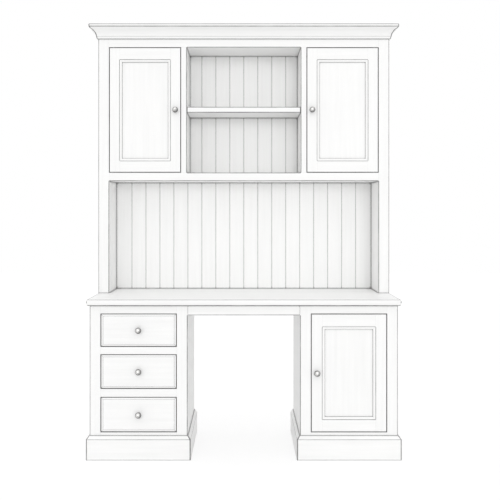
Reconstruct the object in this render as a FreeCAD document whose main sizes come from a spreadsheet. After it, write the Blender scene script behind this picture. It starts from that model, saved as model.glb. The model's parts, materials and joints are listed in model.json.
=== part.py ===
import FreeCAD, Part
import math
import operator
import os
from types import SimpleNamespace

import Sketcher

# Student desk with a hutch, in millimetres.
# X runs to the right, Y from the front to the back, and Z up from the floor.
# The origin lies on the floor under the middle of the whole object, knobs included.

SIZES = {
    # Desk top
    "desk_width": 1500.0,
    "desk_depth": 600.0,
    "desk_height": 762.0,
    "top_thickness": 30.0,
    "top_rounding": 10.0,
    "top_overhang": 16.0,
    "top_back_overhang": 20.0,
    # Boards, joints and clearances
    "board": 18.0,
    "back_panel": 8.0,
    "back_rebate": 9.0,
    "housing": 6.0,
    "frame_thickness": 22.0,
    "tenon_length": 24.0,
    "tenon_thickness": 8.0,
    "tenon_shoulder": 6.0,
    "loose_gap": 0.5,
    "hole_fit": 0.1,
    "reveal": 2.5,
    "overrun": 5.0,
    # Pedestals and kneehole
    "pedestal_width": 466.0,
    "pedestal_stile": 52.0,
    "pedestal_top_rail": 38.0,
    "upper_drawer_rail": 37.0,
    "lower_drawer_rail": 40.0,
    "bottom_rail": 46.0,
    "bottom_rail_show": 16.0,
    "upper_drawer_opening": 157.0,
    "middle_drawer_opening": 163.0,
    "lower_drawer_opening": 167.0,
    "knee_rail_height": 46.0,
    "knee_rail_setback": 3.0,
    "plinth_height": 114.0,
    "plinth_thickness": 16.0,
    "plinth_chamfer_run": 12.0,
    "plinth_chamfer_rise": 16.0,
    # Fixing of the desk top
    "fixing_rail_width": 70.0,
    "fixing_screw_radius": 2.2,
    "fixing_screw_bite": 18.0,
    "fixing_screw_inset": 60.0,
    "fixing_head_radius": 4.5,
    "fixing_head": 3.0,
    # Drawers
    "drawer_depth": 490.0,
    "drawer_side": 12.0,
    "drawer_back": 12.0,
    "drawer_back_inset": 10.0,
    "drawer_back_housing": 4.0,
    "drawer_back_drop": 8.0,
    "drawer_bottom": 6.0,
    "drawer_bottom_rise": 12.0,
    "drawer_groove": 6.0,
    "drawer_head_gap": 8.0,
    "drawer_lap": 12.0,
    "bevel_width": 9.0,
    "bevel_depth": 2.5,
    "slide_gap": 0.3,
    "guide_gap": 0.6,
    "runner_height": 24.0,
    "guide_height": 16.0,
    # Doors
    "door_stile": 52.0,
    "door_top_rail": 61.0,
    "door_bottom_rail": 58.0,
    "panel_thickness": 7.0,
    "panel_recess": 9.0,
    "panel_groove": 10.0,
    "bead_width": 12.0,
    "bead_depth": 7.5,
    "bead_edge": 2.0,
    "bead_quirk": 3.0,
    "bead_radius": 9.0,
    # Door catches
    "catch_gap": 0.5,
    "catch_hold": 12.0,
    "catch_reach": 8.0,
    "catch_depth": 14.0,
    "catch_height": 40.0,
    "catch_drop": 110.0,
    "strike_thickness": 1.5,
    "strike_width": 14.0,
    "strike_height": 34.0,
    # Door pivots
    "pivot_inset": 20.0,
    "pivot_depth": 7.5,
    "pin_radius": 3.0,
    "pin_seat": 16.0,
    "pin_fit": 0.05,
    "pin_end_gap": 1.0,
    "collar_radius": 5.0,
    "bush_wall": 1.5,
    "bush_length": 14.0,
    "flange_radius": 7.0,
    "flange_thickness": 0.8,
    "thrust_gap": 0.3,
    # Knobs
    "knob_radius": 14.5,
    "knob_length": 34.0,
    "knob_neck_radius": 5.5,
    "knob_rose_radius": 9.0,
    "knob_rose": 2.5,
    "knob_screw_radius": 2.0,
    "knob_screw_bite": 12.0,
    "knob_head_radius": 4.0,
    "knob_head": 2.5,
    # Adjustable shelves
    "shelf_clearance": 1.0,
    "shelf_setback": 30.0,
    "peg_radius": 3.5,
    "peg_length": 20.0,
    "peg_seat": 10.0,
    "peg_inset": 40.0,
    # Hutch
    "hutch_inset": 5.0,
    "hutch_depth": 266.0,
    "bay_height": 575.0,
    "hutch_stile": 55.0,
    "hutch_mid_rail": 43.0,
    "hutch_opening": 641.0,
    "frieze": 43.0,
    "mullion": 30.0,
    "centre_opening": 584.0,
    "lining": 18.0,
    "batten_width": 40.0,
    "centre_shelf": 30.0,
    "centre_shelf_height": 307.0,
    "centre_shelf_setback": 2.0,
    "dust_cover": 8.0,
    "dowel_radius": 5.0,
    "dowel_length": 36.0,
    "dowel_inset": 50.0,
    # Back boards
    "back_board": 14.0,
    "end_board": 122.0,
    "vee": 2.5,
    "tongue_length": 5.0,
    "tongue_thickness": 4.5,
    # Cornice
    "cornice_height": 71.0,
    "cornice_projection": 44.0,
    "cornice_stand": 15.0,
    "cornice_lip": 14.0,
    "cornice_lip_drop": 6.0,
    "cornice_lip_undercut": 5.0,
    "cornice_base_rise": 12.0,
    "cornice_base_foot": 7.0,
    "cornice_base_head": 11.0,
    "cove_radius": 48.0,
}

# Directions of round rods
ACROSS = FreeCAD.Vector(1, 0, 0)
INWARD = FreeCAD.Vector(0, 1, 0)
UP = FreeCAD.Vector(0, 0, 1)

# Counts, and shares of the length that they follow
INNER_BACK_BOARDS = 16
TAILS = 3
TAIL_ROOT_SHARE = 0.28
TAIL_END_SHARE = 0.36
CUPBOARD_SHELF_SHARE = 0.5


class Size:
    """A length: the text of its expression, and its value for a sketch's first guess."""

    def __init__(self, text, value):
        self.text = text
        self.value = value

    def joined(self, sign, work, other):
        other = as_size(other)
        return Size(f"({self.text} {sign} {other.text})", work(self.value, other.value))

    def __add__(self, other):
        return self.joined("+", operator.add, other)

    def __sub__(self, other):
        return self.joined("-", operator.sub, other)

    def __mul__(self, other):
        return self.joined("*", operator.mul, other)

    def __truediv__(self, other):
        return self.joined("/", operator.truediv, other)

    def __neg__(self):
        return as_size(0) - self

    def root(self):
        return Size(f"sqrt({self.text})", math.sqrt(self.value))


def as_size(number):
    return number if isinstance(number, Size) else Size(str(number), number)


def fill_sheet():
    """Puts every driving size in the sheet, and gives them back by name."""
    sheet = doc.addObject("Spreadsheet::Sheet", "Sizes")
    for row, (name, value) in enumerate(SIZES.items(), start=1):
        sheet.set(f"A{row}", name)
        sheet.set(f"B{row}", str(value))
        sheet.setAlias(f"B{row}", name)
    doc.recompute()
    return SimpleNamespace(**{name: Size(f"Sizes.{name}", value) for name, value in SIZES.items()})


doc = FreeCAD.newDocument("student_desk")
s = fill_sheet()
nodes = []

# Main planes of the desk
knob_reach = s.knob_length - s.top_overhang
back = (s.desk_depth + knob_reach) / 2
front = back - s.desk_depth
top_under = s.desk_height - s.top_thickness
face = front + s.top_overhang
face_back = face + s.frame_thickness
pedestal_back = back - s.top_back_overhang
pedestal_out = s.desk_width / 2 - s.top_overhang
pedestal_in = pedestal_out - s.pedestal_width
inside_out = pedestal_out - s.board
inside_in = pedestal_in + s.board
inside_back = pedestal_back - s.back_panel
opening_out = pedestal_out - s.pedestal_stile
opening_in = pedestal_in + s.pedestal_stile
opening_low = s.plinth_height + s.bottom_rail_show
opening_high = top_under - s.pedestal_top_rail

# Heights of the drawer openings, which share out the room between the rails by their own sizes
drawer_room = opening_high - opening_low - s.upper_drawer_rail - s.lower_drawer_rail
drawer_stretch = drawer_room / (s.upper_drawer_opening + s.middle_drawer_opening + s.lower_drawer_opening)
upper_low = opening_high - s.upper_drawer_opening * drawer_stretch
middle_high = upper_low - s.upper_drawer_rail
middle_low = middle_high - s.middle_drawer_opening * drawer_stretch
lower_high = middle_low - s.lower_drawer_rail

# Main planes of the hutch
hutch_half = s.desk_width / 2 - s.hutch_inset
hutch_face = back - s.hutch_depth
hutch_face_back = hutch_face + s.frame_thickness
hutch_inside_back = back - s.back_board
hutch_side_in = hutch_half - s.board
hutch_stile_in = hutch_half - s.hutch_stile
centre_half = s.centre_opening / 2
mullion_out = centre_half + s.mullion
partition_out = centre_half + s.board
bay_high = s.desk_height + s.bay_height
cupboard_low = bay_high + s.hutch_mid_rail
cupboard_high = cupboard_low + s.hutch_opening
hutch_shelf_low = cupboard_low + s.centre_shelf_height
cornice_low = cupboard_high + s.frieze
hutch_high = cornice_low + s.cornice_height - s.cornice_stand


# Building blocks


def place(piece, base, rotation=None):
    if rotation:
        piece.Placement = FreeCAD.Placement(FreeCAD.Vector(), rotation)
    for axis, size in zip("xyz", base):
        piece.setExpression(f"Placement.Base.{axis}", as_size(size).text)
    return piece


def box(name, low, high):
    """A square board between two opposite corners."""
    piece = doc.addObject("Part::Box", name)
    for side, start, end in zip(("Length", "Width", "Height"), low, high):
        piece.setExpression(side, (as_size(end) - start).text)
    return place(piece, low)


def rod(name, axis, start, radius, length):
    """A round rod that runs along +X, +Y or +Z from the middle of its first end."""
    piece = doc.addObject("Part::Cylinder", name)
    piece.setExpression("Radius", radius.text)
    piece.setExpression("Height", length.text)
    return place(piece, start, FreeCAD.Rotation(FreeCAD.Vector(0, 0, 1), axis))


def cut(name, base, *tools):
    """Takes each tool out of the base in turn."""
    for count, tool in enumerate(tools, start=1):
        piece = doc.addObject("Part::Cut", name if count == len(tools) else f"{name}_cut_{count}")
        piece.Base = base
        piece.Tool = tool
        base = piece
    return base


def fuse(name, *pieces):
    piece = doc.addObject("Part::MultiFuse", name)
    piece.Shapes = list(pieces)
    piece.Refine = True
    return piece


def node(name, *pieces):
    """Names a sub-part: one piece, or a group of separate pieces."""
    sub_part = pieces[0]
    if len(pieces) > 1:
        sub_part = doc.addObject("Part::Compound", name)
        sub_part.Links = list(pieces)
    sub_part.Label = name
    nodes.append((name, sub_part))
    return sub_part


def span(sign, near, far):
    """Lower and upper X of a stretch that lies near..far from the middle, right or left."""
    return (near, far) if sign > 0 else (-far, -near)


def bulge(start, end, radius, side):
    """Middle point of an arc that leaves its chord to the left (1) or right (-1)."""
    chord = end - start
    across = FreeCAD.Vector(-chord.y, chord.x, 0).normalize()
    sagitta = radius - math.sqrt(radius ** 2 - (chord.Length / 2) ** 2)
    return (start + end) / 2 + across * side * sagitta


def outline(body, role, points, level=None, arcs=None):
    """A closed sketch through the points; arcs gives a radius and a side to some of its lines."""
    arcs = arcs or {}
    sketch = body.newObject("Sketcher::SketchObject", f"{body.Name}_outline")
    plane = next(item for item in body.Origin.OriginFeatures if item.Role == role)
    sketch.AttachmentSupport = [(plane, "")]
    sketch.MapMode = "FlatFace"
    if level:
        sketch.setExpression("AttachmentOffset.Base.z", level.text)
    points = [(as_size(across), as_size(up)) for across, up in points]
    corners = [FreeCAD.Vector(across.value, up.value, 0) for across, up in points]
    starts, ends = [], []
    for index, corner in enumerate(corners):
        following = corners[(index + 1) % len(corners)]
        if index in arcs:
            radius, side = arcs[index]
            middle = bulge(corner, following, radius.value, side)
            line = sketch.addGeometry(Part.Arc(corner, middle, following))
            # A sketch keeps its arcs anticlockwise, so one that bulges left has its ends swapped.
            swapped = side > 0
            bound = sketch.addConstraint(Sketcher.Constraint("Radius", line, radius.value))
            sketch.setExpression(f"Constraints[{bound}]", radius.text)
        else:
            line = sketch.addGeometry(Part.LineSegment(corner, following))
            swapped = False
        starts.append((line, 2 if swapped else 1))
        ends.append((line, 1 if swapped else 2))
    for index, end in enumerate(ends):
        following = starts[(index + 1) % len(starts)]
        sketch.addConstraint(Sketcher.Constraint("Coincident", *end, *following))
    for start, place_on_plane in zip(starts, points):
        for kind, size in zip(("DistanceX", "DistanceY"), place_on_plane):
            bound = sketch.addConstraint(Sketcher.Constraint(kind, -1, 1, *start, size.value))
            sketch.setExpression(f"Constraints[{bound}]", size.text)
    return sketch


def padded(name, role, points, length, level=None, arcs=None):
    """An outline on one of the main planes, carried straight out of that plane."""
    body = doc.addObject("PartDesign::Body", name)
    pad = body.newObject("PartDesign::Pad", f"{name}_pad")
    pad.Profile = outline(body, role, points, level, arcs)
    pad.setExpression("Length", length.text)
    return body


def turned(name, role, points, base, rotation=None, arcs=None):
    """A round piece: an outline turned about the upright axis of its sketch."""
    body = doc.addObject("PartDesign::Body", name)
    sketch = outline(body, role, points, arcs=arcs)
    turn = body.newObject("PartDesign::Revolution", f"{name}_turn")
    turn.Profile = sketch
    turn.ReferenceAxis = (sketch, ["V_Axis"])
    return place(body, base, rotation)


def mitre(body, at_start, outside, length, reach, rise):
    """Cuts one end of a strip at 45 degrees, for an outside or an inside corner."""
    far = reach + s.overrun
    inward = 1 if at_start else -1
    end = as_size(0) if at_start else length
    if outside:
        points = [(end + s.overrun * inward, s.overrun),
                  (end - far * inward, s.overrun),
                  (end - far * inward, -far)]
    else:
        points = [(end - s.overrun * inward, s.overrun),
                  (end - s.overrun * inward, -far),
                  (end + far * inward, -far)]
    pocket = body.newObject("PartDesign::Pocket", f"{body.Name}_mitre")
    pocket.Profile = outline(body, "XY_Plane", points, level=rise + s.overrun)
    pocket.Type = "ThroughAll"


def strip(name, profile, length, ends, base, rotation, arcs=None):
    """A moulding that runs along +X and stands out towards -Y, with square or mitred ends.

    The profile is a list of (reach, rise) pairs, and its length is taken at no reach.
    """
    reach = max((size for size, rise in profile), key=lambda size: as_size(size).value)
    rise = max((size for reach_here, size in profile), key=lambda size: as_size(size).value)
    first = reach if ends[0] == "outside" else as_size(0)
    last = reach if ends[1] == "outside" else as_size(0)
    points = [(-as_size(across), up) for across, up in profile]
    body = padded(name, "YZ_Plane", points, length + first + last, level=-first, arcs=arcs)
    for at_start, end in zip((True, False), ends):
        if end != "square":
            mitre(body, at_start, end == "outside", length, reach, rise)
    return place(body, base, rotation)


def tenoned(name, low, high, run, shoulders):
    """A frame member along X (run 0) or Z (run 2), and the tenon that runs right through it."""
    across = 2 - run
    middle = (low[1] + high[1]) / 2
    tenon_low, tenon_high = list(low), list(high)
    tenon_low[run] = low[run] - s.tenon_length
    tenon_high[run] = high[run] + s.tenon_length
    tenon_low[1] = middle - s.tenon_thickness / 2
    tenon_high[1] = middle + s.tenon_thickness / 2
    tenon_low[across] = low[across] + shoulders[0]
    tenon_high[across] = high[across] - shoulders[1]
    tenon = box(f"{name}_tenon", tenon_low, tenon_high)
    return fuse(name, box(f"{name}_length", low, high), tenon), tenon


# Knobs


def knob(name, x, y, z, thickness):
    """A ball knob on the face at y, its screw through the board behind it, and the screw's hole."""
    ball_middle = s.knob_length - s.knob_radius
    neck_end = ball_middle - (s.knob_radius * s.knob_radius - s.knob_neck_radius * s.knob_neck_radius).root()
    bore = s.knob_screw_radius + s.hole_fit
    bore_end = s.knob_screw_bite + s.loose_gap
    outside = [(bore, 0), (s.knob_rose_radius, 0), (s.knob_rose_radius, -s.knob_rose),
               (s.knob_neck_radius, -s.knob_rose), (s.knob_neck_radius, -neck_end),
               (0, -s.knob_length), (0, -bore_end), (bore, -bore_end)]
    ball = turned(f"{name}_ball", "XY_Plane", outside, (x, y, z), arcs={4: (s.knob_radius, 1)})
    shank = [(0, -s.knob_screw_bite), (s.knob_screw_radius, -s.knob_screw_bite),
             (s.knob_screw_radius, thickness), (s.knob_head_radius, thickness),
             (s.knob_head_radius, thickness + s.knob_head), (0, thickness + s.knob_head)]
    screw = turned(f"{name}_screw", "XY_Plane", shank, (x, y, z))
    hole = rod(f"{name}_hole", INWARD, (x, y - s.overrun, z), bore, thickness + s.overrun * 2)
    node(name, ball, screw)
    return hole


# Doors


def pivot(name, x, y, z, up):
    """A door's pin, the bush that it turns in, and the holes for both; up is 1 at the door's head."""
    rotation = None if up > 0 else FreeCAD.Rotation(FreeCAD.Vector(1, 0, 0), 180)
    collar = s.reveal - s.flange_thickness - s.thrust_gap
    pin_end = s.reveal + s.bush_length - s.pin_end_gap
    pin_points = [(0, -s.pin_seat), (s.pin_radius, -s.pin_seat), (s.pin_radius, 0),
                  (s.collar_radius, 0), (s.collar_radius, collar), (s.pin_radius, collar),
                  (s.pin_radius, pin_end), (0, pin_end)]
    bore = s.pin_radius + s.pin_fit
    barrel = s.pin_radius + s.bush_wall
    flange_low = s.reveal - s.flange_thickness
    bush_end = s.reveal + s.bush_length
    bush_points = [(bore, flange_low), (s.flange_radius, flange_low), (s.flange_radius, s.reveal),
                   (barrel, s.reveal), (barrel, bush_end), (bore, bush_end)]
    pin_hole_low = z - s.pin_seat - s.loose_gap if up > 0 else z - s.overrun
    bush_low = z - s.overrun if up > 0 else z - bush_end - s.loose_gap
    return SimpleNamespace(
        pin=turned(f"{name}_pin", "XZ_Plane", pin_points, (x, y, z), rotation),
        bush=turned(f"{name}_bush", "XZ_Plane", bush_points, (x, y, z), rotation),
        pin_hole=rod(f"{name}_pin_hole", UP, (x, y, pin_hole_low), s.pin_radius + s.pin_fit,
                     s.pin_seat + s.loose_gap + s.overrun),
        bush_hole=rod(f"{name}_bush_hole", UP, (x, y, bush_low), barrel + s.pin_fit,
                      bush_end + s.loose_gap + s.overrun))


def door(name, low, high, y, hinge):
    """A frame-and-panel door in the opening low..high (X and Z); hinge is 1 on the right, -1 left."""
    left, right = low[0] + s.reveal, high[0] - s.reveal
    bottom, top = low[1] + s.reveal, high[1] - s.reveal
    thickness = s.frame_thickness - s.catch_gap
    door_back = y + thickness
    inner_left, inner_right = left + s.door_stile, right - s.door_stile
    inner_bottom, inner_top = bottom + s.door_bottom_rail, top - s.door_top_rail
    panel_face = y + s.panel_recess
    panel_back = panel_face + s.panel_thickness

    groove_reach = s.panel_groove
    panel = box(f"{name}_panel",
                (inner_left - groove_reach, panel_face, inner_bottom - groove_reach),
                (inner_right + groove_reach, panel_back, inner_top + groove_reach))
    groove_reach = s.panel_groove + s.loose_gap
    groove = box(f"{name}_groove",
                 (inner_left - groove_reach, panel_face, inner_bottom - groove_reach),
                 (inner_right + groove_reach, panel_back, inner_top + groove_reach))

    past_groove = groove_reach + s.tenon_shoulder
    top_rail, top_tenon = tenoned(f"{name}_top_rail_blank", (inner_left, y, inner_top),
                                  (inner_right, door_back, top), 0, (past_groove, s.tenon_shoulder))
    bottom_rail, bottom_tenon = tenoned(f"{name}_bottom_rail_blank", (inner_left, y, bottom),
                                        (inner_right, door_back, inner_bottom), 0,
                                        (s.tenon_shoulder, past_groove))

    pivot_x = right - s.pivot_inset if hinge > 0 else left + s.pivot_inset
    pivot_y = y + s.pivot_depth
    head = pivot(f"{name}_head", pivot_x, pivot_y, top, 1)
    foot = pivot(f"{name}_foot", pivot_x, pivot_y, bottom, -1)

    knob_x = left + s.door_stile / 2 if hinge > 0 else right - s.door_stile / 2
    knob_hole = knob(f"{name}_knob", knob_x, y, (bottom + top) / 2, thickness)

    catch_top = high[1] - s.catch_drop
    free_edge = low[0] if hinge > 0 else high[0]
    catch_low, catch_high = (free_edge - s.catch_hold, free_edge + s.catch_reach)
    strike_low, strike_high = (left, left + s.strike_width)
    if hinge < 0:
        catch_low, catch_high = (free_edge - s.catch_reach, free_edge + s.catch_hold)
        strike_low, strike_high = (right - s.strike_width, right)
    catch = box(f"{name}_catch", (catch_low, y + s.frame_thickness, catch_top - s.catch_height),
                (catch_high, y + s.frame_thickness + s.catch_depth, catch_top))
    strike_middle = catch_top - s.catch_height / 2
    strike = box(f"{name}_strike",
                 (strike_low, door_back - s.strike_thickness, strike_middle - s.strike_height / 2),
                 (strike_high, door_back, strike_middle + s.strike_height / 2))

    blanks = [box(f"{name}_left_stile_blank", (left, y, bottom), (inner_left, door_back, top)),
              box(f"{name}_right_stile_blank", (inner_right, y, bottom), (right, door_back, top))]
    hinge_cuts, free_cuts = (head.pin_hole, foot.pin_hole), (knob_hole, strike)
    cuts = (free_cuts, hinge_cuts) if hinge > 0 else (hinge_cuts, free_cuts)
    stiles = [cut(f"{name}_{side}_stile", blank, top_tenon, bottom_tenon, groove, *extra)
              for side, blank, extra in zip(("left", "right"), blanks, cuts)]
    rails = [cut(f"{name}_top_rail", top_rail, groove), cut(f"{name}_bottom_rail", bottom_rail, groove)]
    node(f"{name}_frame", *stiles, *rails)
    node(f"{name}_panel", panel)

    profile = [(0, 0), (s.bead_width, 0), (s.bead_width, s.bead_edge), (s.bead_quirk, s.bead_depth),
               (0, s.bead_depth)]
    corners = ((inner_left, inner_top), (inner_right, inner_top),
               (inner_right, inner_bottom), (inner_left, inner_bottom))
    wide, tall = inner_right - inner_left, inner_top - inner_bottom
    beads = []
    upright = FreeCAD.Rotation(FreeCAD.Vector(1, 0, 0), 90)
    for turn, (side, corner) in enumerate(zip(("top", "right", "bottom", "left"), corners)):
        rotation = FreeCAD.Rotation(FreeCAD.Vector(0, 1, 0), 90 * turn) * upright
        beads.append(strip(f"{name}_{side}_bead", profile, tall if turn % 2 else wide,
                           ("inside", "inside"), (corner[0], panel_face, corner[1]), rotation,
                           arcs={2: (s.bead_radius, 1)}))
    node(f"{name}_beads", *beads)
    node(f"{name}_fittings", head.pin, foot.pin, strike)
    return SimpleNamespace(bushes=[head.bush, foot.bush], head_hole=head.bush_hole,
                           foot_hole=foot.bush_hole, catch=catch)


# Drawers


def tailed_side(name, x_low, low, high):
    """A drawer side whose front end is cut into dovetails that reach into the drawer's front."""
    pitch = (high - low) / TAILS
    points = []
    for tail in range(TAILS):
        middle = low + pitch * tail + pitch / 2
        points += [(face_back, middle - pitch * TAIL_ROOT_SHARE),
                   (face_back - s.drawer_lap, middle - pitch * TAIL_END_SHARE),
                   (face_back - s.drawer_lap, middle + pitch * TAIL_END_SHARE),
                   (face_back, middle + pitch * TAIL_ROOT_SHARE)]
    end = face_back + s.drawer_depth
    points = [(face_back, low)] + points + [(face_back, high), (end, high), (end, low)]
    return padded(name, "YZ_Plane", points, s.drawer_side, level=x_low)


def drawer(name, low, high):
    """A flush drawer in the opening from low to high."""
    left, right = -opening_out + s.reveal, -opening_in - s.reveal
    bottom, top = low + s.reveal, high - s.reveal
    side_low, side_high = low + s.slide_gap, high - s.drawer_head_gap
    inner_left, inner_right = left + s.drawer_side, right - s.drawer_side
    end = face_back + s.drawer_depth
    floor_low = side_low + s.drawer_bottom_rise
    floor_high = floor_low + s.drawer_bottom

    floor = box(f"{name}_bottom",
                (inner_left - s.drawer_groove + s.loose_gap, face_back - s.drawer_groove, floor_low),
                (inner_right + s.drawer_groove - s.loose_gap, end, floor_high))
    groove = box(f"{name}_groove",
                 (inner_left - s.drawer_groove, face_back - s.drawer_groove - s.loose_gap, floor_low),
                 (inner_right + s.drawer_groove, end + s.overrun, floor_high))
    back_end = end - s.drawer_back_inset
    rear = box(f"{name}_rear",
               (inner_left - s.drawer_back_housing, back_end - s.drawer_back, floor_high),
               (inner_right + s.drawer_back_housing, back_end, side_high - s.drawer_back_drop))
    blanks = [tailed_side(f"{name}_left_blank", left, side_low, side_high),
              tailed_side(f"{name}_right_blank", inner_right, side_low, side_high)]
    sides = [cut(f"{name}_{side}_side", blank, groove, rear)
             for side, blank in zip(("left", "right"), blanks)]

    bevel = doc.addObject("Part::Wedge", f"{name}_bevel")
    wedge = {"Xmin": s.bevel_width, "Xmax": right - left - s.bevel_width,
             "Zmin": s.bevel_width, "Zmax": top - bottom - s.bevel_width,
             "X2min": as_size(0), "X2max": right - left, "Z2min": as_size(0), "Z2max": top - bottom,
             "Ymin": as_size(0), "Ymax": s.bevel_depth}
    for edge, size in wedge.items():
        bevel.setExpression(edge, size.text)
    place(bevel, (left, face, bottom))
    plank = box(f"{name}_plank", (left, face + s.bevel_depth, bottom), (right, face_back, top))
    knob_hole = knob(f"{name}_knob", (left + right) / 2, face, (low + high) / 2, s.frame_thickness)
    front_blank = fuse(f"{name}_front_blank", bevel, plank)
    node(f"{name}_front", cut(f"{name}_front", front_blank, *blanks, groove, knob_hole))
    node(f"{name}_box", *sides, rear)
    node(f"{name}_bottom", floor)


def drawer_supports(name, low):
    """The runner under each side of a drawer, and the guide that stands on it beside the drawer."""
    supports = []
    for side, wall, inward in (("outer", -inside_out, 1), ("inner", -inside_in, -1)):
        recess = s.pedestal_stile - s.board + s.reveal
        for part, reach, bottom, top in (
                ("runner", recess + s.drawer_side, low - s.runner_height, low),
                ("guide", recess - s.guide_gap, low, low + s.guide_height)):
            edge = wall + reach * inward
            start, end = (wall, edge) if inward > 0 else (edge, wall)
            supports.append(box(f"{name}_{side}_{part}", (start, face_back, bottom),
                                (end, inside_back, top)))
    return supports


# Shelves on pegs


def pegged_shelf(name, low, high, height):
    """A loose shelf between low and high (X and Y), its four pegs, and their holes on each side."""
    shelf_low = height + s.peg_radius
    front_edge = low[1] + s.shelf_setback
    shelf = box(name, (low[0] + s.shelf_clearance, front_edge, shelf_low),
                (high[0] - s.shelf_clearance, high[1] - s.loose_gap, shelf_low + s.board))
    pegs, holes = [], {"low": [], "high": []}
    rows = (("front", front_edge + s.peg_inset), ("rear", high[1] - s.peg_inset))
    for row, y in rows:
        for side, start in (("low", low[0] - s.peg_seat),
                            ("high", high[0] + s.peg_seat - s.peg_length)):
            peg_name = f"{name}_{row}_{side}_peg"
            height_here = height - s.hole_fit
            pegs.append(rod(peg_name, ACROSS, (start, y, height_here), s.peg_radius, s.peg_length))
            hole_start = start - s.loose_gap
            holes[side].append(rod(f"{peg_name}_hole", ACROSS, (hole_start, y, height_here),
                                   s.peg_radius + s.hole_fit, s.peg_length + s.loose_gap * 2))
    return SimpleNamespace(shelf=shelf, pegs=pegs, holes=holes)


# Pedestals


def pedestal(name, sign, floor_high, peg_holes):
    """The two side panels of a pedestal, and the back and floor that are let into them."""
    low, high = span(sign, inside_in - s.back_rebate, inside_out + s.back_rebate)
    floor_low = floor_high - s.board
    rear = box(f"{name}_back_panel", (low, inside_back, floor_low), (high, pedestal_back, top_under))
    low, high = span(sign, inside_in - s.housing, inside_out + s.housing)
    floor = box(f"{name}_floor_panel", (low, face_back, floor_low), (high, inside_back, floor_high))
    for side, near, far in (("inner", pedestal_in, inside_in), ("outer", inside_out, pedestal_out)):
        low, high = span(sign, near, far)
        blank = box(f"{name}_{side}_blank", (low, face_back, 0), (high, pedestal_back, top_under))
        panel = f"{name}_{side}_side"
        node(panel, cut(panel, blank, rear, floor, *peg_holes.get(side, ())))
    return rear, floor


def face_frame(name, sign, edges, bush_holes):
    """The stiles and rails on the front of a pedestal; bush_holes go into the first and last rail."""
    low, high = span(sign, opening_in, opening_out)
    rails, tenons = [], []
    for count, (rail_low, rail_high) in enumerate(edges, start=1):
        rail, tenon = tenoned(f"{name}_rail_{count}", (low, face, rail_low), (high, face_back, rail_high),
                              0, (s.tenon_shoulder, s.tenon_shoulder))
        rails.append(rail)
        tenons.append(tenon)
    if bush_holes:
        rails[0] = cut(f"{name}_head_rail", rails[0], bush_holes[0])
        rails[-1] = cut(f"{name}_foot_rail", rails[-1], bush_holes[1])
    stiles = []
    for side, near, far in (("inner", pedestal_in, opening_in), ("outer", opening_out, pedestal_out)):
        low, high = span(sign, near, far)
        blank = box(f"{name}_{side}_stile_blank", (low, face, 0), (high, face_back, top_under))
        stiles.append(cut(f"{name}_{side}_stile", blank, *tenons))
    node(name, *stiles, *rails)


def plinth(name, sign):
    """Three boards round the foot of a pedestal, mitred at the front corners."""
    chamfer_reach = s.plinth_thickness - s.plinth_chamfer_run
    chamfer_low = s.plinth_height - s.plinth_chamfer_rise
    profile = [(0, 0), (s.plinth_thickness, 0), (s.plinth_thickness, chamfer_low),
               (chamfer_reach, s.plinth_height), (0, s.plinth_height)]
    low, high = span(sign, pedestal_in, pedestal_out)
    depth = pedestal_back - face
    quarter = FreeCAD.Rotation(FreeCAD.Vector(0, 0, 1), 90)
    boards = [strip(f"{name}_front", profile, high - low, ("outside", "outside"), (low, face, 0), None),
              strip(f"{name}_right", profile, depth, ("outside", "square"), (high, face, 0), quarter),
              strip(f"{name}_left", profile, depth, ("square", "outside"), (low, pedestal_back, 0),
                    quarter.inverted())]
    node(name, *boards)


def fixing_rails():
    """Rails across the head of each pedestal, with the screws that hold the desk top down."""
    rails, screws, holes = [], [], []
    length = s.board + s.fixing_screw_bite
    points = [(0, -s.fixing_head), (s.fixing_head_radius, -s.fixing_head), (s.fixing_head_radius, 0),
              (s.fixing_screw_radius, 0), (s.fixing_screw_radius, length), (0, length)]
    rail_low = top_under - s.board
    for side, sign in (("left", -1), ("right", 1)):
        low, high = span(sign, inside_in, inside_out)
        for row, start in (("front", face_back), ("rear", inside_back - s.fixing_rail_width)):
            name = f"{side}_{row}_fixing"
            rail_holes = []
            for end, x in (("low", low + s.fixing_screw_inset), ("high", high - s.fixing_screw_inset)):
                middle = (x, start + s.fixing_rail_width / 2, rail_low)
                screws.append(turned(f"{name}_{end}_screw", "XZ_Plane", points, middle))
                rail_holes.append(rod(f"{name}_{end}_hole", UP, middle,
                                      s.fixing_screw_radius + s.hole_fit, length + s.loose_gap))
            blank = box(f"{name}_blank", (low, start, rail_low),
                        (high, start + s.fixing_rail_width, top_under))
            rails.append(cut(f"{name}_rail", blank, *rail_holes))
            holes += rail_holes
    node("top_fixing_rails", *rails)
    node("top_fixing_screws", *screws)
    return holes


def desk_top(holes):
    half = s.desk_width / 2
    points = [(-half, front), (half, front), (half, back), (-half, back)]
    body = padded("desk_top_board", "XY_Plane", points, s.top_thickness, level=top_under)
    doc.recompute()
    pad = body.Tip
    rounding = body.newObject("PartDesign::Fillet", "desk_top_rounding")
    rear = pad.Shape.BoundBox.YMax
    names = [f"Edge{count}" for count, edge in enumerate(pad.Shape.Edges, start=1)
             if not math.isclose(edge.CenterOfMass.y, rear)]
    rounding.Base = (pad, names)
    rounding.setExpression("Radius", s.top_rounding.text)
    node("desk_top", cut("desk_top", body, *holes))


# Hutch


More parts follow.
